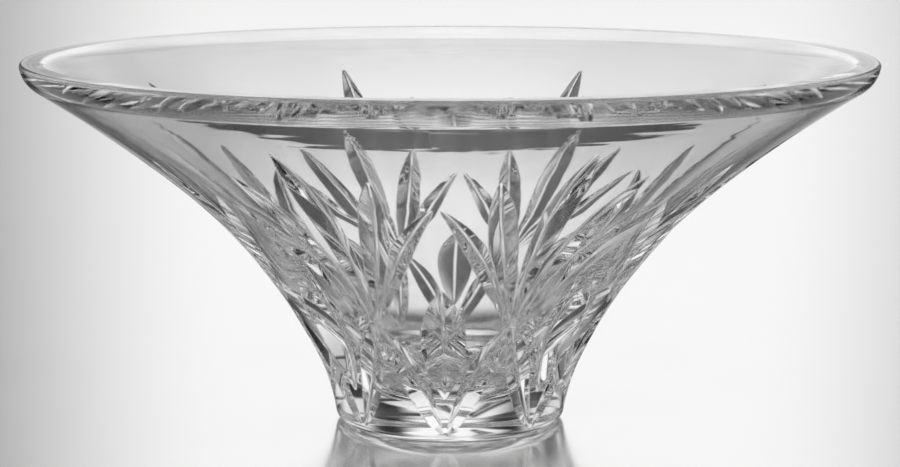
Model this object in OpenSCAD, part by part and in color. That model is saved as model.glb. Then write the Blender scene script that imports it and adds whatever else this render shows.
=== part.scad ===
// Flared footed bowl of heavy clear cut glass, in millimetres, +Z up.
// The origin is the centre of the foot on the surface that the bowl stands on.

/* [Bowl] */
// Outer diameter of the rim
rim_d = 300; // [280:1:320]
// Height from the table to the top of the rim
bowl_h = 130.8; // [124:0.2:138]
// Diameter of the foot, without its rounded edge
foot_d = 81.8; // [76:0.2:88]
// Thickness of the rim, seen from above
rim_t = 7.5; // [6.5:0.1:9]
// Thickness of the glass under the floor of the bowl
floor_t = 13; // [10:0.5:16]
// Radius of the dished floor inside
floor_r = 40; // [36:1:46]

/* [Curves] */
// Lean of the foot's side from upright, in degrees
foot_lean = 6.2; // [4:0.1:9]
// Radius of the waist above the foot
waist_r = 73.5; // [66:0.5:82]
// Radius of the body curve
body_r = 190.8; // [180:0.2:202]
// Turn of the wall along the body curve, in degrees
body_turn = 25; // [23:0.1:27]
// Radius of the upper flare
flare_r = 461.5; // [420:0.5:500]
// Radius of the rolled outer face of the rim
lip_r = 10.4; // [8:0.1:12]
// Radius of the inner flare
inner_r = 501; // [450:1:560]
// Radius of the foot's rounded edge
foot_edge_r = 4; // [2:0.1:5]
// Radius of the two edges on top of the rim
rim_edge_r = 1.2; // [0.6:0.1:2]
// Depth of the ground hollow under the foot
punt_depth = 1; // [0.5:0.1:2]
// Width of the flat ring that the foot stands on
rest_w = 4; // [3:0.1:6]

/* [Cut pattern] */
// Number of cut fans round the bowl
fans = 8; // [8:1:9]
// Height of the point that a fan's leaves spring from
fan_z = 46; // [44:0.2:48]
// Drop from the top of the rim to the tip of a fan's tall middle leaf
tall_drop = 18.3; // [17:0.1:22]
// Drop from the top of the rim to the tips of the leaves on both sides of it
side_drop = 28; // [26:0.1:31]
// Drop from the top of the rim to the tips of the outer leaves, which meet the next fan's
outer_drop = 38.6; // [36:0.1:42]
// Height at which the falling leaves end on the foot
fall_z = 3; // [2.6:0.1:5]
// Tip height of the broad leaf between two fans
broad_z = 60.2; // [58:0.2:62]
// Foot height of the broad leaf
broad_low_z = 16; // [14:0.2:20]
// Angle from the tall leaf's tip to a side leaf's tip
side_turn = 12.5; // [11:0.1:14]
// Width of the tall leaf
tall_w = 10.4; // [9:0.1:11]
// Width of a side leaf
side_w = 9.8; // [9:0.1:10.6]
// Width of an outer leaf
outer_w = 7.6; // [7:0.1:8.2]
// Width of a falling leaf
fall_w = 9.6; // [8:0.1:10.5]
// Width of the broad leaf
broad_w = 16.4; // [14:0.1:17]
// Angle between the two faces of the cutting wheel's edge
wheel_angle = 120; // [112:1:128]
// Upward bow of the outer leaves between their tips
outer_bow = 2.5; // [2:0.1:3]
// Lean of the wheel on the outer leaves, which widens their upper face
outer_lean = 4; // [2:0.5:6]

/* [Hidden] */
$fn = 96;
rim_r = rim_d / 2;
foot_r = foot_d / 2;
pitch = 360 / fans;
// Height of the wheel's edge that stands clear of the glass
wheel_clear = 1.4;
// Turn of the wheel past each tip of a leaf, in degrees of the wheel
wheel_past = 3;
// Share of a leaf's rise at which its cut is deepest
deep_at = 0.6;
// Turn between the starts of neighbouring leaves of a fan
start_turn = 0.8;
// Drop of the falling leaves' starts below the middle of a fan
start_drop = 1.2;
// Turn from the middle between two fans to the tip of a leaf that ends there
tip_turn = 0.3;

// Outward direction of the wall in the half section at a lean
function way(lean) = [cos(lean), -sin(lean)];

// Where a circle from one centre meets a circle from another, on the left of the line between the centres
function meet(c1, r1, c2, r2) =
    let (d = norm(c2 - c1), u = (c2 - c1) / d, x = (d * d + r1 * r1 - r2 * r2) / (2 * d))
    c1 + x * u + sqrt(r1 * r1 - x * x) * [-u.y, u.x];

// A height to the nearest micrometre
function level(z) = round(z * 1000) / 1000;

// Outer curve from the foot up: waist arc, body arc, flare arc and rolled rim, each tangent to the next.
// The waist ends at the lean from which the body and flare arcs just reach the rim's rounded outer edge.
waist_c = [foot_r, 0] + waist_r * way(foot_lean);
rim_c = [rim_r, bowl_h] - [1, 1] * rim_edge_r;
lip_c = [rim_c.x - sqrt(pow(lip_r - rim_edge_r, 2) - pow(rim_edge_r, 2)), bowl_h];
rim_top = level(bowl_h - rim_edge_r * lip_r / (lip_r - rim_edge_r));
span = lip_c - waist_c;
shift = [body_r - waist_r, 0] + (flare_r - body_r) * [cos(body_turn), sin(body_turn)];
end_cos = (span * span + shift * shift - pow(flare_r + lip_r, 2)) / (2 * norm(shift) * norm(span));
waist_lean = acos(end_cos) - atan2(span.y, span.x) - atan2(shift.y, shift.x);
flare_lean = waist_lean + body_turn;
body_c = waist_c + (body_r - waist_r) * way(waist_lean);
flare_c = body_c + (flare_r - body_r) * way(flare_lean);
waist_top = level(waist_c.y + waist_r * sin(waist_lean));
body_top = level(body_c.y + body_r * sin(flare_lean));
flare_top = level(flare_c.y + (lip_c - flare_c).y * flare_r / (flare_r + lip_r));

// Rounded edge of the foot, tangent to the table and to the waist
foot_c = [waist_c.x - sqrt(pow(waist_r + foot_edge_r, 2) - pow(foot_edge_r - waist_c.y, 2)), foot_edge_r];
foot_top = level(waist_c.y + (foot_c - waist_c).y * waist_r / (waist_r + foot_edge_r));

// Inner curve: one flare from the rim, tangent to the dished floor, with a rounded edge on top of the rim
floor_c = [0, floor_t + floor_r];
inner_c = meet([rim_r - rim_t, bowl_h], inner_r, floor_c, inner_r + floor_r);
floor_top = level(floor_c.y + (inner_c - floor_c).y * floor_r / (inner_r + floor_r));
edge_y = bowl_h - rim_edge_r;
edge_c = [inner_c.x - sqrt(pow(inner_r - rim_edge_r, 2) - pow(edge_y - inner_c.y, 2)), edge_y];
edge_low = inner_c + (edge_c - inner_c) * inner_r / (inner_r - rim_edge_r);

// Ground hollow under the foot, a shallow dish inside the resting ring
punt_edge = foot_c.x - rest_w;
punt_r = (punt_edge * punt_edge + punt_depth * punt_depth) / (2 * punt_depth);

function arc_c(z) = z < waist_top ? waist_c : z < body_top ? body_c : flare_c;
function arc_r(z) = z < waist_top ? waist_r : z < body_top ? body_r : flare_r;
// Outer radius and lean of the uncut wall at a height
function outer_r(z) = arc_c(z).x - sqrt(pow(arc_r(z), 2) - pow(z - arc_c(z).y, 2));
function lean(z) = asin((z - arc_c(z).y) / arc_r(z));
// Point of the uncut wall at a turn and a height
function on_wall(p) = [outer_r(p[1]) * sin(p[0]), -outer_r(p[1]) * cos(p[0]), p[1]];
// Outward normal of the wall nearest to a point
function normal(p) = [for (v = cos(lean(p.z)) * unit([p.x, p.y])) v, -sin(lean(p.z))];
// Where a line from a point meets the wall, by a few Newton steps
function to_wall(p, dir, steps = 5) = steps == 0 ? p :
    to_wall(p - dir * (norm([p.x, p.y]) - outer_r(p.z)) * cos(lean(p.z)) / (dir * normal(p)), dir, steps - 1);
function unit(v) = v / norm(v);

// Leaves of one fan, whose middle is half a pitch from the front. Each leaf has its low tip and high tip
// (turn and height), its width, its bow and the lean of the wheel.
fan_a = pitch / 2;
tall_z = bowl_h - tall_drop;
side_z = bowl_h - side_drop;
outer_z = bowl_h - outer_drop;
leaves = [
    [[fan_a, fan_z], [fan_a, tall_z], tall_w, 0, 0],
    [[fan_a - start_turn, fan_z], [fan_a - side_turn, side_z], side_w, 0, 0],
    [[fan_a + start_turn, fan_z], [fan_a + side_turn, side_z], side_w, 0, 0],
    [[fan_a - 2 * start_turn, fan_z], [tip_turn, outer_z], outer_w, outer_bow, -outer_lean],
    [[fan_a + 2 * start_turn, fan_z], [pitch - tip_turn, outer_z], outer_w, -outer_bow, outer_lean],
    [[tip_turn, fall_z], [fan_a - start_turn, fan_z - start_drop], fall_w, 0, 0],
    [[pitch - tip_turn, fall_z], [fan_a + start_turn, fan_z - start_drop], fall_w, 0, 0],
    [[0, broad_low_z], [0, broad_z], broad_w, 0, 0]
];

// Node to draw

// A circle whose centre is reached in a coarse and a fine step, so that tangent arcs stay tangent
module disc(c, r) {
    step = [round(c.x * 100), round(c.y * 100)] / 100;
    translate(step) translate(c - step) circle(r);
}

// A band of the half section between two heights, inside an arc that bows towards the axis
module hollow_band(low, high, c, r) {
    difference() {
        translate([0, low]) square([c.x, high - low]);
        disc(c, r);
    }
}

// A band of the half section between two heights, inside an arc that bows away from the axis
module round_band(low, high, c, r) {
    intersection() {
        translate([0, low]) square([c.x + r, high - low]);
        disc(c, r);
    }
}

// Half section inside the outer curve
module outside() {
    square([foot_c.x, foot_top]);
    round_band(0, foot_top, foot_c, foot_edge_r);
    hollow_band(foot_top, waist_top, waist_c, waist_r);
    hollow_band(waist_top, body_top, body_c, body_r);
    hollow_band(body_top, flare_top, flare_c, flare_r);
    round_band(flare_top, rim_top, lip_c, lip_r);
    translate([0, flare_top]) square([lip_c.x, bowl_h - flare_top]);
    translate([0, rim_top]) square([rim_c.x, bowl_h - rim_top]);
    disc(rim_c, rim_edge_r);
}

// Half section of the hollow, with the rounded inner edge on top of the rim
module inside() {
    round_band(0, floor_top, floor_c, floor_r);
    hollow_band(floor_top, bowl_h + rim_edge_r, inner_c, inner_r);
    difference() {
        polygon([edge_c, edge_low, [rim_r - rim_t, bowl_h + rim_edge_r], [edge_c.x, bowl_h + rim_edge_r]]);
        disc(edge_c, rim_edge_r);
    }
}

// The glass before cutting
module blank() {
    rotate_extrude() difference() {
        outside();
        inside();
        translate([0, punt_depth - punt_r]) circle(punt_r);
    }
}

// One wheel cut from a low to a high tip on the wall: a sector of the wheel whose V edge passes both tips,
// opens square to the wall and reaches its full depth part of the way up, where a bow moves it sideways
module leaf(cut) {
    p1 = on_wall(cut[0]);
    p2 = on_wall(cut[1]);
    bow = cut[3];
    slope = [tan(wheel_angle / 2 - cut[4]), tan(wheel_angle / 2 + cut[4])];
    depth = cut[2] / (slope[0] + slope[1]);
    edge = depth + wheel_clear;
    chord = norm(p2 - p1);
    along = unit(p2 - p1);
    reach = deep_at * chord;
    mid = p1 + reach * along;
    inward = -unit(normal(mid) - (normal(mid) * along) * along);
    deep = to_wall(mid + bow * cross(inward, along), inward) + depth * inward;
    sink = norm(deep - mid);
    down = (deep - mid) / sink;
    across = cross(down, along);
    turn = atan2(bow, (deep - mid) * inward);
    centre_in = (reach * reach - reach * chord + sink * sink) / (2 * sink);
    wheel_r = norm([chord / 2, centre_in]);
    centre = p1 + chord / 2 * along + centre_in * down;
    half = asin(chord / 2 / wheel_r) + wheel_past;
    multmatrix([
        [down.x, along.x, across.x, centre.x],
        [down.y, along.y, across.y, centre.y],
        [down.z, along.z, across.z, centre.z]
    ]) rotate(-half) rotate_extrude(angle = 2 * half) translate([wheel_r, 0]) rotate(-turn) polygon([
        [0, 0],
        [-edge, edge * slope[0]],
        [-edge, -edge * slope[1]]
    ]);
}

// The glass with the first few kinds of leaf cut, each kind once in every fan
module cut_glass(kinds) {
    if (kinds == 0) blank();
    else difference() {
        cut_glass(kinds - 1);
        for (i = [0:fans - 1]) rotate(i * pitch) leaf(leaves[kinds - 1]);
    }
}

module bowl() {
    color("azure", 0.6) cut_glass(len(leaves));
}

bowl();
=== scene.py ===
"""Looks of the cut-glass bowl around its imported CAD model: clear crystal in a bright studio."""
import math

import bpy
import numpy as np
from mathutils.kdtree import KDTree
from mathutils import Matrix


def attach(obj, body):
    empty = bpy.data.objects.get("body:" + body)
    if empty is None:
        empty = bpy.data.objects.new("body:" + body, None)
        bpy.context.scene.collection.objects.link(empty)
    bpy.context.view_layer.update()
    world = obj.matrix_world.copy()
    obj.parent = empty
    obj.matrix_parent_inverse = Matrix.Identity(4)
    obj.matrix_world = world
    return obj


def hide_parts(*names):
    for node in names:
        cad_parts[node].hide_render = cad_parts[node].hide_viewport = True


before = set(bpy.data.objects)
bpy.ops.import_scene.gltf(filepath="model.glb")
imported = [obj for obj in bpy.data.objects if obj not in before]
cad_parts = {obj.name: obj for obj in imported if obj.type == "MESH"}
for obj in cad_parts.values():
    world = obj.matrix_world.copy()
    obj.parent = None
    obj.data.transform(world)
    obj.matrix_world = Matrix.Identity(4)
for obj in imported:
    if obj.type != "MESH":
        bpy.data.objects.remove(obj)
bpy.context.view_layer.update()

MM = 0.001

# Sizes of the part's source, in millimetres and degrees
RIM_D, BOWL_H, FOOT_D, RIM_T = 300.0, 130.8, 81.8, 7.5
FLOOR_T, FLOOR_R, FOOT_LEAN = 13.0, 40.0, 6.2
WAIST_R, BODY_R, BODY_TURN, FLARE_R = 73.5, 190.8, 25.0, 461.5
LIP_R, INNER_R, FOOT_EDGE_R, RIM_EDGE_R = 10.4, 501.0, 4.0, 1.2
PUNT_DEPTH, REST_W = 1.0, 4.0
FANS, FAN_Z, FALL_Z = 8, 46.0, 3.0
TALL_Z, SIDE_Z, OUTER_Z = BOWL_H - 18.3, BOWL_H - 28.0, BOWL_H - 38.6
BROAD_Z, BROAD_LOW_Z, SIDE_TURN = 60.2, 16.0, 12.5
TALL_W, SIDE_W, OUTER_W, FALL_W, BROAD_W = 10.4, 9.8, 7.6, 9.6, 16.4
WHEEL_ANGLE, OUTER_BOW, OUTER_LEAN = 120.0, 2.5, 4.0
WHEEL_CLEAR, WHEEL_PAST, DEEP_AT = 1.4, 3.0, 0.6
START_TURN, START_DROP, TIP_TURN = 0.8, 1.2, 0.3

# Fineness of the glass mesh
TURNS = 256            # steps round the bowl
BLANK_TURN = 0.37      # turn of the first step from the front, so that no step lies along a cut
ARC_STEP = 2.0         # longest step along a curve of the half section, in millimetres
ARC_TURN = 9.0         # largest turn in one step, in degrees
CUT_STEPS = 64         # steps along one wheel cut
MITRE_R = 1.6          # radius of the polished bottom of a cut
MITRE_STEPS = 5
WALL_AGREES = 6.0      # a face that leans less than this from the turned wall belongs to it, in degrees
SAMPLE_STEP = 0.25     # step of the samples that tell which curve a face lies on, in millimetres
FACING_COST = 4.0      # weight of a face's direction against its distance when its cut is looked for
WALL_TRIES = 5         # steps that bring a point onto the wall
NEAR_ZERO = 1e-9       # keeps the bowl's axis from dividing by nothing


def cosd(a):
    return math.cos(math.radians(a))


def sind(a):
    return math.sin(math.radians(a))


def way(lean):
    """Outward direction of the wall in the half section at a lean."""
    return np.array([cosd(lean), -sind(lean)])


def unit(v):
    return v / np.linalg.norm(v)


# Half section, as in the part's source
rim_r = RIM_D / 2
waist_c = np.array([FOOT_D / 2, 0]) + WAIST_R * way(FOOT_LEAN)
rim_c = np.array([rim_r - RIM_EDGE_R, BOWL_H - RIM_EDGE_R])
lip_c = np.array([rim_c[0] - math.sqrt((LIP_R - RIM_EDGE_R) ** 2 - RIM_EDGE_R ** 2), BOWL_H])
span = lip_c - waist_c
shift = np.array([BODY_R - WAIST_R, 0]) + (FLARE_R - BODY_R) * np.array([cosd(BODY_TURN), sind(BODY_TURN)])
span_d, shift_d = np.linalg.norm(span), np.linalg.norm(shift)
end_cos = (span_d ** 2 + shift_d ** 2 - (FLARE_R + LIP_R) ** 2) / (2 * shift_d * span_d)
span_a, shift_a = math.atan2(span[1], span[0]), math.atan2(shift[1], shift[0])
waist_lean = math.degrees(math.acos(end_cos) - span_a - shift_a)
flare_lean = waist_lean + BODY_TURN
body_c = waist_c + (BODY_R - WAIST_R) * way(waist_lean)
flare_c = body_c + (FLARE_R - BODY_R) * way(flare_lean)
waist_top = waist_c[1] + WAIST_R * sind(waist_lean)
body_top = body_c[1] + BODY_R * sind(flare_lean)
flare_end = flare_c + (lip_c - flare_c) * FLARE_R / (FLARE_R + LIP_R)
foot_in = math.sqrt((WAIST_R + FOOT_EDGE_R) ** 2 - (FOOT_EDGE_R - waist_c[1]) ** 2)
foot_c = np.array([waist_c[0] - foot_in, FOOT_EDGE_R])
floor_c = np.array([0, FLOOR_T + FLOOR_R])
inner_top = np.array([rim_r - RIM_T, BOWL_H])
gap = floor_c - inner_top
gap_d = np.linalg.norm(gap)
gap_x = (gap_d ** 2 + INNER_R ** 2 - (INNER_R + FLOOR_R) ** 2) / (2 * gap_d)
gap_side = math.sqrt(INNER_R ** 2 - gap_x ** 2) * np.array([-gap[1], gap[0]])
inner_c = inner_top + gap_x * gap / gap_d + gap_side / gap_d
edge_y = BOWL_H - RIM_EDGE_R
edge_in = math.sqrt((INNER_R - RIM_EDGE_R) ** 2 - (edge_y - inner_c[1]) ** 2)
edge_c = np.array([inner_c[0] - edge_in, edge_y])
punt_edge = foot_c[0] - REST_W
punt_r = (punt_edge ** 2 + PUNT_DEPTH ** 2) / (2 * PUNT_DEPTH)


def angle_to(c, p):
    return math.atan2(p[1] - c[1], p[0] - c[0])


class Arc:
    """An arc of the half section. side is 1 where the glass is inside the circle, and -1 outside."""

    def __init__(self, c, r, a0, a1, side):
        self.c, self.r, self.a0, self.turn, self.side = np.array(c), r, a0, a1 - a0, side
        self.length = abs(self.turn) * r
        turns = math.ceil(math.degrees(abs(self.turn)) / ARC_TURN)
        self.steps = max(2, math.ceil(self.length / ARC_STEP), turns)

    def at(self, t):
        a = self.a0 + t * self.turn
        return self.c + self.r * np.stack([np.cos(a), np.sin(a)], 1)

    def normal(self, p):
        d = p - self.c
        return self.side * d / np.linalg.norm(d, axis=1)[:, None]


class Flat:
    """A straight line of the half section."""

    def __init__(self, p0, p1, normal):
        self.p0, self.way, self.out = np.array(p0), np.subtract(p1, p0), np.array(normal)
        self.length = np.linalg.norm(self.way)
        self.steps = max(1, math.ceil(self.length / ARC_STEP))

    def at(self, t):
        return self.p0 + t[:, None] * self.way

    def normal(self, p):
        return np.tile(self.out, (len(p), 1))


def wall_arc(c, r, lean0, lean1):
    return Arc(c, r, math.pi - math.radians(lean0), math.pi - math.radians(lean1), -1)


foot_lean = math.degrees(math.asin((foot_c - waist_c)[1] / (WAIST_R + FOOT_EDGE_R)))
top_lean = math.degrees(math.asin((flare_end - flare_c)[1] / FLARE_R))
tip_a = angle_to(lip_c, rim_c)
CURVES = [
    Arc((0, PUNT_DEPTH - punt_r), punt_r, math.pi / 2, math.acos(punt_edge / punt_r), -1),
    Flat((punt_edge, 0), (foot_c[0], 0), (0.0, -1.0)),
    Arc(foot_c, FOOT_EDGE_R, -math.pi / 2, -math.radians(foot_lean), 1),
    wall_arc(waist_c, WAIST_R, foot_lean, waist_lean),
    wall_arc(body_c, BODY_R, waist_lean, flare_lean),
    wall_arc(flare_c, FLARE_R, flare_lean, top_lean),
    Arc(lip_c, LIP_R, -math.radians(top_lean), tip_a, 1),
    Arc(rim_c, RIM_EDGE_R, tip_a, math.pi / 2, 1),
    Flat((rim_c[0], BOWL_H), (edge_c[0], BOWL_H), (0.0, 1.0)),
    Arc(edge_c, RIM_EDGE_R, math.pi / 2, angle_to(inner_c, edge_c), 1),
    Arc(inner_c, INNER_R, angle_to(inner_c, edge_c), angle_to(inner_c, floor_c), 1),
    Arc(floor_c, FLOOR_R, angle_to(floor_c, inner_c), -math.pi / 2, -1),
]
REST, INSIDE = 1, (9, 10, 11)     # the flat ring and the inside, as places in CURVES


# Wheel cuts, as in the part's source
def arc_at(z):
    if z < waist_top:
        return waist_c, WAIST_R
    return (body_c, BODY_R) if z < body_top else (flare_c, FLARE_R)


def outer_r(z):
    c, r = arc_at(z)
    return c[0] - math.sqrt(r * r - (z - c[1]) ** 2)


def lean_at(z):
    c, r = arc_at(z)
    return math.asin((z - c[1]) / r)


def on_wall(turn, z):
    r = outer_r(z)
    return np.array([r * sind(turn), -r * cosd(turn), z])


def wall_normal(p):
    a = lean_at(p[2])
    return np.array([*(math.cos(a) * unit(p[:2])), -math.sin(a)])


def to_wall(p, direction):
    for _ in range(WALL_TRIES):
        off = (math.hypot(p[0], p[1]) - outer_r(p[2])) * math.cos(lean_at(p[2]))
        p = p - direction * off / (direction @ wall_normal(p))
    return p


class Cut:
    """One wheel cut: the wheel's frame and its V edge, with a polished round bottom."""

    def __init__(self, low, high, width, bow, lean):
        p1, p2 = on_wall(*low), on_wall(*high)
        slopes = [math.tan(math.radians(WHEEL_ANGLE / 2 + k * lean)) for k in (-1, 1)]
        depth = width / sum(slopes)
        edge = depth + WHEEL_CLEAR
        chord = np.linalg.norm(p2 - p1)
        self.along = unit(p2 - p1)
        reach = DEEP_AT * chord
        mid = p1 + reach * self.along
        n = wall_normal(mid)
        inward = -unit(n - (n @ self.along) * self.along)
        deep = to_wall(mid + bow * np.cross(inward, self.along), inward) + depth * inward
        sink = np.linalg.norm(deep - mid)
        self.down = (deep - mid) / sink
        self.across = np.cross(self.down, self.along)
        turn = -math.atan2(bow, (deep - mid) @ inward)
        centre_in = (reach * reach - reach * chord + sink * sink) / (2 * sink)
        self.r = math.hypot(chord / 2, centre_in)
        self.centre = p1 + chord / 2 * self.along + centre_in * self.down
        self.half = math.asin(chord / 2 / self.r) + math.radians(WHEEL_PAST)
        spin = np.array([[math.cos(turn), -math.sin(turn)], [math.sin(turn), math.cos(turn)]])
        # the two faces of the V from its bottom outwards, and their normals into the open V
        self.faces = [spin @ unit(np.array([-1, s])) for s in (slopes[0], -slopes[1])]
        self.normals = [np.array([f[1], -f[0]]) * k for f, k in zip(self.faces, (-1, 1))]
        middle = unit(self.faces[0] + self.faces[1])
        half_v = math.acos(self.faces[0] @ middle)
        self.round_c = middle * MITRE_R / math.sin(half_v)
        self.round_t = MITRE_R / math.tan(half_v)
        ends = [f * edge / abs(spin.T @ f)[0] for f in self.faces]
        a0, a1 = [math.atan2(*(f * self.round_t - self.round_c)[::-1]) for f in self.faces]
        a1 = a0 + (a1 - a0 + math.pi) % (2 * math.pi) - math.pi
        bend = [self.round_c + MITRE_R * np.array([math.cos(a), math.sin(a)])
                for a in np.linspace(a0, a1, MITRE_STEPS + 1)]
        self.outline = np.array([ends[0], *bend, ends[1]])

    def turned(self, angle):
        """A copy turned round the bowl's axis."""
        c, s = cosd(angle), sind(angle)
        m = np.array([[c, -s, 0], [s, c, 0], [0, 0, 1]])
        new = Cut.__new__(Cut)
        new.__dict__.update(self.__dict__)
        for k in ("along", "down", "across", "centre"):
            setattr(new, k, m @ getattr(self, k))
        return new

    def mesh(self):
        """Vertices and faces of the swept V."""
        n = len(self.outline)
        verts, faces = [], []
        for t in np.linspace(-self.half, self.half, CUT_STEPS + 1):
            radial = math.cos(t) * self.down + math.sin(t) * self.along
            verts += [self.centre + (self.r + q[0]) * radial + q[1] * self.across for q in self.outline]
        for i in range(CUT_STEPS):
            for j in range(n):
                k = (j + 1) % n
                faces.append((i * n + j, i * n + k, (i + 1) * n + k, (i + 1) * n + j))
        faces.append(tuple(range(n))[::-1])
        faces.append(tuple(range(CUT_STEPS * n, CUT_STEPS * n + n)))
        return np.array(verts), faces

    def flat_point(self, p):
        """Places in the plane of the V edge, and the outward direction of the wheel there."""
        q = p - self.centre
        y = q @ self.across
        radial = q - y[:, None] * self.across
        rho = np.linalg.norm(radial, axis=1)
        return np.stack([rho - self.r, y], 1), radial / rho[:, None]

    def normal(self, p, side):
        """Distance from one face of the V, and the glass's outward normal there."""
        q, radial = self.flat_point(p)
        rise = q @ self.faces[side]
        off = np.abs(q @ self.normals[side])
        n2 = np.tile(self.normals[side], (len(p), 1))
        low = rise < self.round_t
        to_c = self.round_c - q[low]
        d = np.linalg.norm(to_c, axis=1)
        n2[low] = to_c / d[:, None]
        off[low] = np.abs(d - MITRE_R)
        return off, n2[:, :1] * radial + n2[:, 1:] * self.across


pitch = 360 / FANS
fan_a = pitch / 2
KINDS = [
    Cut((fan_a, FAN_Z), (fan_a, TALL_Z), TALL_W, 0, 0),
    Cut((fan_a - START_TURN, FAN_Z), (fan_a - SIDE_TURN, SIDE_Z), SIDE_W, 0, 0),
    Cut((fan_a + START_TURN, FAN_Z), (fan_a + SIDE_TURN, SIDE_Z), SIDE_W, 0, 0),
    Cut((fan_a - 2 * START_TURN, FAN_Z), (TIP_TURN, OUTER_Z), OUTER_W, OUTER_BOW, -OUTER_LEAN),
    Cut((fan_a + 2 * START_TURN, FAN_Z), (pitch - TIP_TURN, OUTER_Z), OUTER_W, -OUTER_BOW, OUTER_LEAN),
    Cut((TIP_TURN, FALL_Z), (fan_a - START_TURN, FAN_Z - START_DROP), FALL_W, 0, 0),
    Cut((pitch - TIP_TURN, FALL_Z), (fan_a + START_TURN, FAN_Z - START_DROP), FALL_W, 0, 0),
    Cut((0, BROAD_LOW_Z), (0, BROAD_Z), BROAD_W, 0, 0),
]
CUTS = [[k.turned(i * pitch) for i in range(FANS)] for k in KINDS]


# Glass mesh
def new_object(name, verts, faces):
    me = bpy.data.meshes.new(name)
    me.from_pydata(np.asarray(verts).tolist(), [], faces)
    me.update()
    ob = bpy.data.objects.new(name, me)
    bpy.context.scene.collection.objects.link(ob)
    return ob


def blank():
    """The bowl before cutting, turned from its half section."""
    parts = [c.at(np.arange(c.steps) / c.steps) for c in CURVES]
    line = np.concatenate(parts + [CURVES[-1].at(np.ones(1))])
    a = np.radians(np.arange(TURNS) * 360 / TURNS + BLANK_TURN)
    rings = line[1:-1]
    heights = np.repeat(rings[:, 1:], TURNS, 1)
    verts = np.stack([rings[:, :1] * np.sin(a), -rings[:, :1] * np.cos(a), heights], 2)
    verts = np.concatenate([verts.reshape(-1, 3), [[0, 0, line[0][1]], [0, 0, line[-1][1]]]])
    last = len(rings) - 1
    faces = []
    for j in range(TURNS):
        k = (j + 1) % TURNS
        faces.append((len(verts) - 2, k, j))
        faces.append((last * TURNS + j, last * TURNS + k, len(verts) - 1))
        faces += [(i * TURNS + j, i * TURNS + k, (i + 1) * TURNS + k, (i + 1) * TURNS + j)
                  for i in range(last)]
    return new_object("bowl_glass", verts * MM, faces)


def cut_all(ob):
    """Takes every kind of cut from the blank, one kind after another."""
    for n, kind in enumerate(CUTS):
        verts, faces = [], []
        for cut in kind:
            v, f = cut.mesh()
            start = sum(map(len, verts))
            verts.append(v)
            faces += [tuple(start + i for i in face) for face in f]
        tool = new_object("wheel_%d" % n, np.concatenate(verts) * MM, faces)
        mod = ob.modifiers.new("cut", "BOOLEAN")
        mod.operation, mod.solver, mod.object = "DIFFERENCE", "MANIFOLD", tool
        done = bpy.data.meshes.new_from_object(ob.evaluated_get(bpy.context.evaluated_depsgraph_get()))
        ob.modifiers.clear()
        ob.data = done
        bpy.data.objects.remove(tool)
    ob.data.name = "bowl_glass"


def smooth_normals(ob):
    """Gives every corner the true normal of the curved surface that its face lies on."""
    me = ob.data
    nv, nl, nf = len(me.vertices), len(me.loops), len(me.polygons)
    co = np.zeros(nv * 3)
    me.vertices.foreach_get("co", co)
    co = co.reshape(-1, 3) / MM
    corner = np.zeros(nl, int)
    me.loops.foreach_get("vertex_index", corner)
    total, fn, centre = np.zeros(nf, int), np.zeros(nf * 3), np.zeros(nf * 3)
    me.polygons.foreach_get("loop_total", total)
    me.polygons.foreach_get("normal", fn)
    me.polygons.foreach_get("center", centre)
    fn, centre = fn.reshape(-1, 3), centre.reshape(-1, 3) / MM
    face = np.repeat(np.arange(nf), total)
    # the curve of the half section that each face is nearest to
    counts = [math.ceil(c.length / SAMPLE_STEP) for c in CURVES]
    samples = np.concatenate([c.at((np.arange(n) + 0.5) / n) for c, n in zip(CURVES, counts)])
    owner = np.repeat(np.arange(len(CURVES)), counts)
    tree = KDTree(len(samples))
    for i, s in enumerate(samples):
        tree.insert((s[0], s[1], 0), i)
    tree.balance()
    curve = owner[[tree.find((math.hypot(x, y), z, 0))[1] for x, y, z in centre]]

    def wall(points, which):
        r = np.hypot(points[:, 0], points[:, 1])
        n2 = np.zeros((len(points), 2))
        for i, c in enumerate(CURVES):
            m = which == i
            n2[m] = c.normal(np.stack([r[m], points[m, 2]], 1))
        around = points[:, :2] / np.maximum(r, NEAR_ZERO)[:, None]
        return np.concatenate([n2[:, :1] * around, n2[:, 1:]], 1)

    cut_faces = (fn * wall(centre, curve)).sum(1) < cosd(WALL_AGREES)
    normals = wall(co[corner], curve[face])
    todo = np.where(cut_faces)[0]
    best = np.full(len(todo), np.inf)
    pick = np.zeros((len(todo), 3), int)
    for i, kind in enumerate(CUTS):
        for j, cut in enumerate(kind):
            for side in (0, 1):
                off, n = cut.normal(centre[todo], side)
                cost = off + FACING_COST * (1 - (n * fn[todo]).sum(1))
                better = cost < best
                best[better] = cost[better]
                pick[better] = (i, j, side)
    for key in np.unique(pick, axis=0):
        rows = np.isin(face, todo[(pick == key).all(1)])
        normals[rows] = CUTS[key[0]][key[1]].normal(co[corner[rows]], key[2])[1]
    me.polygons.foreach_set("use_smooth", np.ones(nf, bool))
    me.normals_split_custom_set(normals)
    return cut_faces, curve


bowl = blank()
cut_all(bowl)
cut_faces, curve = smooth_normals(bowl)
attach(bowl, "root")
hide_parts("bowl")


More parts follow.
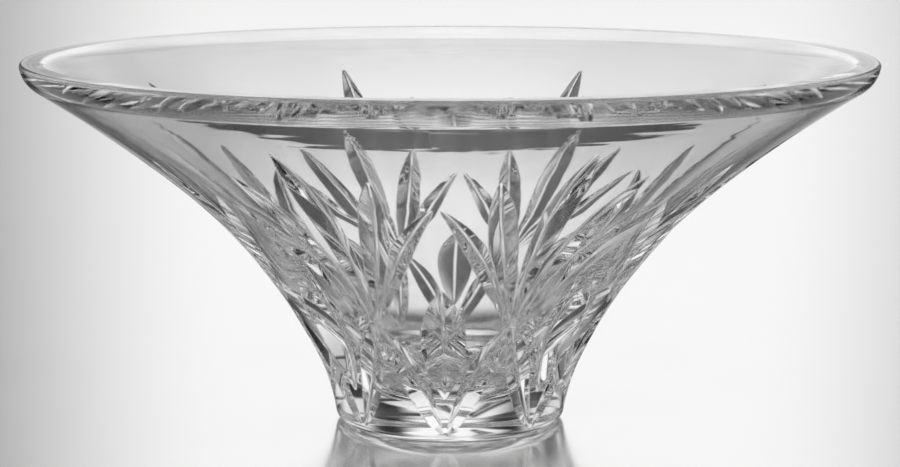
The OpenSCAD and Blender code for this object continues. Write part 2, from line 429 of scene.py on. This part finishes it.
# Looks
GLASS_TONE, GLASS_IOR = 0.998, 1.545
WAVE_SCALE = 90.0          # waves of the blown inside, per metre
WAVE_HEIGHT = 0.00002      # metres
WAVE_TALL = 0.7            # heights count this much, so the waves are longer up the bowl than round it
RIPPLE_SCALE = 420.0       # ripples that polishing leaves on the cut faces
RIPPLE_HEIGHT = 0.000004
RING_SCALE = 260.0         # faint turned rings of the rim
RING_HEIGHT = 0.00002
RING_RUN = 0.012           # metres of noise for one radian round the rim, so that a ring hardly changes
RING_START, RING_FULL = 0.112, 0.122    # heights between which the rings begin
SMOOTH_DETAIL = 1.0        # noise detail of the waves, ripples and rings
EDGE_ROUND, EDGE_SAMPLES = 0.0008, 4    # radius of the polished edges, and its shading samples
SCUFF_SCALE = 900.0        # scuffs of the ground ring that the bowl stands on
SCUFF_LEAST, SCUFF_MOST = 0.18, 0.4     # roughness there
SCUFF_FROM, SCUFF_TO, SCUFF_DETAIL = 0.35, 0.65, 4.0

TABLE_R, TABLE_SIDES = 10.0, 96
TABLE_DROP = 0.0001        # metres below the foot, so that the two don't share a plane
TABLE_TONE, TABLE_METAL, TABLE_ROUGH = 0.96, 0.92, 0.16
CLOUD_SCALE = 14.0         # faint clouds in the tone and the gloss of the table
CLOUD_TONE, CLOUD_ROUGH = 0.02, 0.03
CLOUD_FROM, CLOUD_TO, CLOUD_DETAIL = 0.3, 0.7, 5.0

PANELS = 8                 # soft light panels round the bowl, with dark gaps between them
PANEL_TURN = -1.2          # turn of the panels, in degrees
PANEL_FULL, PANEL_END = 7.0, 19.0       # a panel fades between these angles from its middle
PANEL_LOW, PANEL_LIT = 1.0, 4.0         # the glass sees it brighten here, in degrees above level
PANEL_DIM, PANEL_TOP = 26.0, 40.0       # and end here
GLOSS_LOW, GLOSS_LIT = 0.7, 2.7         # glossy rays see it brighten here
GLOSS_DIM, GLOSS_TOP = 34.0, 46.0       # and end here
BACK_FULL, BACK_END = 18.0, 27.0        # the back level gives way to the side level here
BACK_LEVEL, SIDE_LEVEL, GAP_LEVEL = 1.0, 0.8, 0.02
WALL_LEVEL, WALL_LOW, WALL_TOP = 0.06, 1.0, 6.0       # dark wall near level, and where it ends
OVER_LEVEL, OVER_START, OVER_FULL = 0.6, 60.0, 75.0   # soft light overhead
ROOM_LEVEL = 1.0           # what lights the table itself
BACKDROP_LEVEL = 0.9       # what the camera sees behind the table


class Nodes:
    """Short ways to add nodes to a tree."""

    def __init__(self, tree):
        self.tree = tree

    def add(self, kind, **values):
        n = self.tree.nodes.new(kind)
        for k, v in values.items():
            setattr(n, k, v)
        return n

    def put(self, socket, value):
        if isinstance(value, bpy.types.NodeSocket):
            self.tree.links.new(value, socket)
        else:
            socket.default_value = value

    def math(self, op, *inputs):
        n = self.add("ShaderNodeMath", operation=op)
        for socket, v in zip(n.inputs, inputs):
            self.put(socket, v)
        return n.outputs[0]

    def fade(self, value, start, end, low, high):
        """low before start, high after end, and a smooth change between them."""
        n = self.add("ShaderNodeMapRange", interpolation_type="SMOOTHSTEP")
        names = ("Value", "From Min", "From Max", "To Min", "To Max")
        for k, v in zip(names, (value, start, end, low, high)):
            self.put(n.inputs[k], v)
        return n.outputs[0]

    def split(self, vector):
        n = self.add("ShaderNodeSeparateXYZ")
        self.put(n.inputs[0], vector)
        return n.outputs

    def join(self, x, y, z):
        n = self.add("ShaderNodeCombineXYZ")
        for socket, v in zip(n.inputs, (x, y, z)):
            self.put(socket, v)
        return n.outputs[0]

    def length(self, x, y):
        return self.math("SQRT", self.math("ADD", self.math("MULTIPLY", x, x), self.math("MULTIPLY", y, y)))

    def noise(self, vector, scale, detail):
        n = self.add("ShaderNodeTexNoise")
        for k, v in zip(("Vector", "Scale", "Detail"), (vector, scale, detail)):
            self.put(n.inputs[k], v)
        return n.outputs["Fac"]

    def mask(self, name):
        return self.add("ShaderNodeAttribute", attribute_name=name).outputs["Fac"]

    def panel_off(self, x, y):
        """Angles round the bowl from the middle of the nearest light panel and of the one at the back."""
        turn = self.math("SUBTRACT", self.math("DEGREES", self.math("ARCTAN2", x, y)), PANEL_TURN)
        return self.math("PINGPONG", turn, 180 / PANELS), self.math("ABSOLUTE", turn)


def material(name):
    mat = bpy.data.materials.new(name)
    mat.use_nodes = True
    return mat, Nodes(mat.node_tree), mat.node_tree.nodes["Principled BSDF"].inputs


def mark(name, faces):
    """A number on every face, 1 where the faces are picked, for the glass nodes."""
    bowl.data.attributes.new(name, "FLOAT", "FACE").data.foreach_set("value", faces.astype(np.float32))


def glass():
    """Clear crystal: a faintly wavy blown inside, polished cuts, soft edges and a scuffed ground ring."""
    mat, nodes, shader = material("clear_crystal")
    shader["Base Color"].default_value = (GLASS_TONE, GLASS_TONE, GLASS_TONE, 1)
    shader["Transmission Weight"].default_value = 1.0
    shader["IOR"].default_value = GLASS_IOR
    place = nodes.add("ShaderNodeTexCoord").outputs["Object"]
    x, y, z = nodes.split(place)
    wavy = nodes.noise(nodes.join(x, y, nodes.math("MULTIPLY", z, WAVE_TALL)), WAVE_SCALE, SMOOTH_DETAIL)
    wave = nodes.math("MULTIPLY", wavy, nodes.math("MULTIPLY", nodes.mask("inside"), WAVE_HEIGHT))
    rippled = nodes.noise(place, RIPPLE_SCALE, SMOOTH_DETAIL)
    ripple = nodes.math("MULTIPLY", rippled, nodes.math("MULTIPLY", nodes.mask("cut"), RIPPLE_HEIGHT))
    along = nodes.math("MULTIPLY", nodes.math("ARCTAN2", x, y), RING_RUN)
    rings = nodes.noise(nodes.join(along, nodes.length(x, y), z), RING_SCALE, SMOOTH_DETAIL)
    ring = nodes.math("MULTIPLY", rings, nodes.fade(z, RING_START, RING_FULL, 0.0, RING_HEIGHT))
    bump = nodes.add("ShaderNodeBump")
    bump.inputs["Distance"].default_value = 1.0
    nodes.put(bump.inputs["Height"], nodes.math("ADD", nodes.math("ADD", wave, ripple), ring))
    edges = nodes.add("ShaderNodeBevel", samples=EDGE_SAMPLES)
    edges.inputs["Radius"].default_value = EDGE_ROUND
    nodes.put(bump.inputs["Normal"], edges.outputs[0])
    nodes.put(shader["Normal"], bump.outputs[0])
    scuffed = nodes.noise(place, SCUFF_SCALE, SCUFF_DETAIL)
    scuff = nodes.fade(scuffed, SCUFF_FROM, SCUFF_TO, SCUFF_LEAST, SCUFF_MOST)
    nodes.put(shader["Roughness"], nodes.math("MULTIPLY", nodes.mask("ground"), scuff))
    return mat


def table_top():
    """A plain pale glossy table, with faint clouds in its tone and gloss."""
    mat, nodes, shader = material("table_top")
    cloud = nodes.noise(nodes.add("ShaderNodeTexCoord").outputs["Object"], CLOUD_SCALE, CLOUD_DETAIL)
    tone = nodes.fade(cloud, CLOUD_FROM, CLOUD_TO, TABLE_TONE - CLOUD_TONE, TABLE_TONE + CLOUD_TONE)
    nodes.put(shader["Base Color"], nodes.join(tone, tone, tone))
    rough = nodes.fade(cloud, CLOUD_FROM, CLOUD_TO, TABLE_ROUGH - CLOUD_ROUGH, TABLE_ROUGH + CLOUD_ROUGH)
    nodes.put(shader["Roughness"], rough)
    shader["Metallic"].default_value = TABLE_METAL
    shader["Specular IOR Level"].default_value = 0.0
    return mat


def studio():
    """Soft panels for rays from glass and gloss, an even light on matt surfaces, a pale backdrop."""
    world = bpy.data.worlds.new("studio")
    bpy.context.scene.world = world
    world.use_nodes = True
    nodes = Nodes(world.node_tree)
    path = nodes.add("ShaderNodeLightPath").outputs
    x, y, z = nodes.split(nodes.add("ShaderNodeTexCoord").outputs["Generated"])
    off, behind = nodes.panel_off(x, y)
    height = nodes.math("DEGREES", nodes.math("ARCSINE", z))
    across = nodes.fade(off, PANEL_FULL, PANEL_END, 1.0, 0.0)
    in_glass = nodes.math("MULTIPLY", nodes.fade(height, PANEL_LOW, PANEL_LIT, 0.0, 1.0),
                          nodes.fade(height, PANEL_DIM, PANEL_TOP, 1.0, 0.0))
    in_gloss = nodes.math("MULTIPLY", nodes.fade(height, GLOSS_LOW, GLOSS_LIT, 0.0, 1.0),
                          nodes.fade(height, GLOSS_DIM, GLOSS_TOP, 1.0, 0.0))
    up = nodes.fade(path["Is Glossy Ray"], 0.0, 1.0, in_glass, in_gloss)
    level = nodes.fade(behind, BACK_FULL, BACK_END, BACK_LEVEL, SIDE_LEVEL)
    panel = nodes.math("MULTIPLY", nodes.math("MULTIPLY", across, up), level)
    wall = nodes.fade(height, WALL_LOW, WALL_TOP, WALL_LEVEL, GAP_LEVEL)
    over = nodes.fade(height, OVER_START, OVER_FULL, 0.0, OVER_LEVEL)
    seen = nodes.math("MAXIMUM", nodes.math("MAXIMUM", panel, over), wall)
    lit = nodes.fade(nodes.math("MINIMUM", path["Diffuse Depth"], 1.0), 0.0, 1.0, seen, ROOM_LEVEL)
    back = world.node_tree.nodes["Background"].inputs
    back["Color"].default_value = (1, 1, 1, 1)
    nodes.put(back["Strength"], nodes.fade(path["Is Camera Ray"], 0.0, 1.0, lit, BACKDROP_LEVEL))


mark("inside", np.isin(curve, INSIDE) & ~cut_faces)
mark("cut", cut_faces)
mark("ground", (curve == REST) & ~cut_faces)
bowl.data.materials.clear()
bowl.data.materials.append(glass())

bpy.ops.mesh.primitive_circle_add(vertices=TABLE_SIDES, radius=TABLE_R, fill_type="NGON",
                                  location=(0, 0, -TABLE_DROP))
table = bpy.context.object
table.name = "table"
table.data.materials.append(table_top())
studio()

# Camera
CAMERA_TURN = 2.4      # degrees to the right of the front
CAMERA_OUT = 0.7709    # metres from the bowl's axis
CAMERA_UP = 0.1975     # metres above the table
CAMERA_DIP = 9.607     # degrees below level
CAMERA_LENS = 87.12    # millimetres
GLASS_BOUNCES, GLOSS_BOUNCES = 32, 16

cam_data = bpy.data.cameras.new("camera")
cam_data.lens = CAMERA_LENS
cam = bpy.data.objects.new("camera", cam_data)
cam.location = (CAMERA_OUT * sind(CAMERA_TURN), -CAMERA_OUT * cosd(CAMERA_TURN), CAMERA_UP)
cam.rotation_euler = (math.radians(90 - CAMERA_DIP), 0, math.radians(CAMERA_TURN))
scene = bpy.context.scene
scene.collection.objects.link(cam)
scene.camera = cam
scene.view_settings.view_transform = "Standard"
scene.cycles.max_bounces = GLASS_BOUNCES
scene.cycles.transmission_bounces = GLASS_BOUNCES
scene.cycles.glossy_bounces = GLOSS_BOUNCES
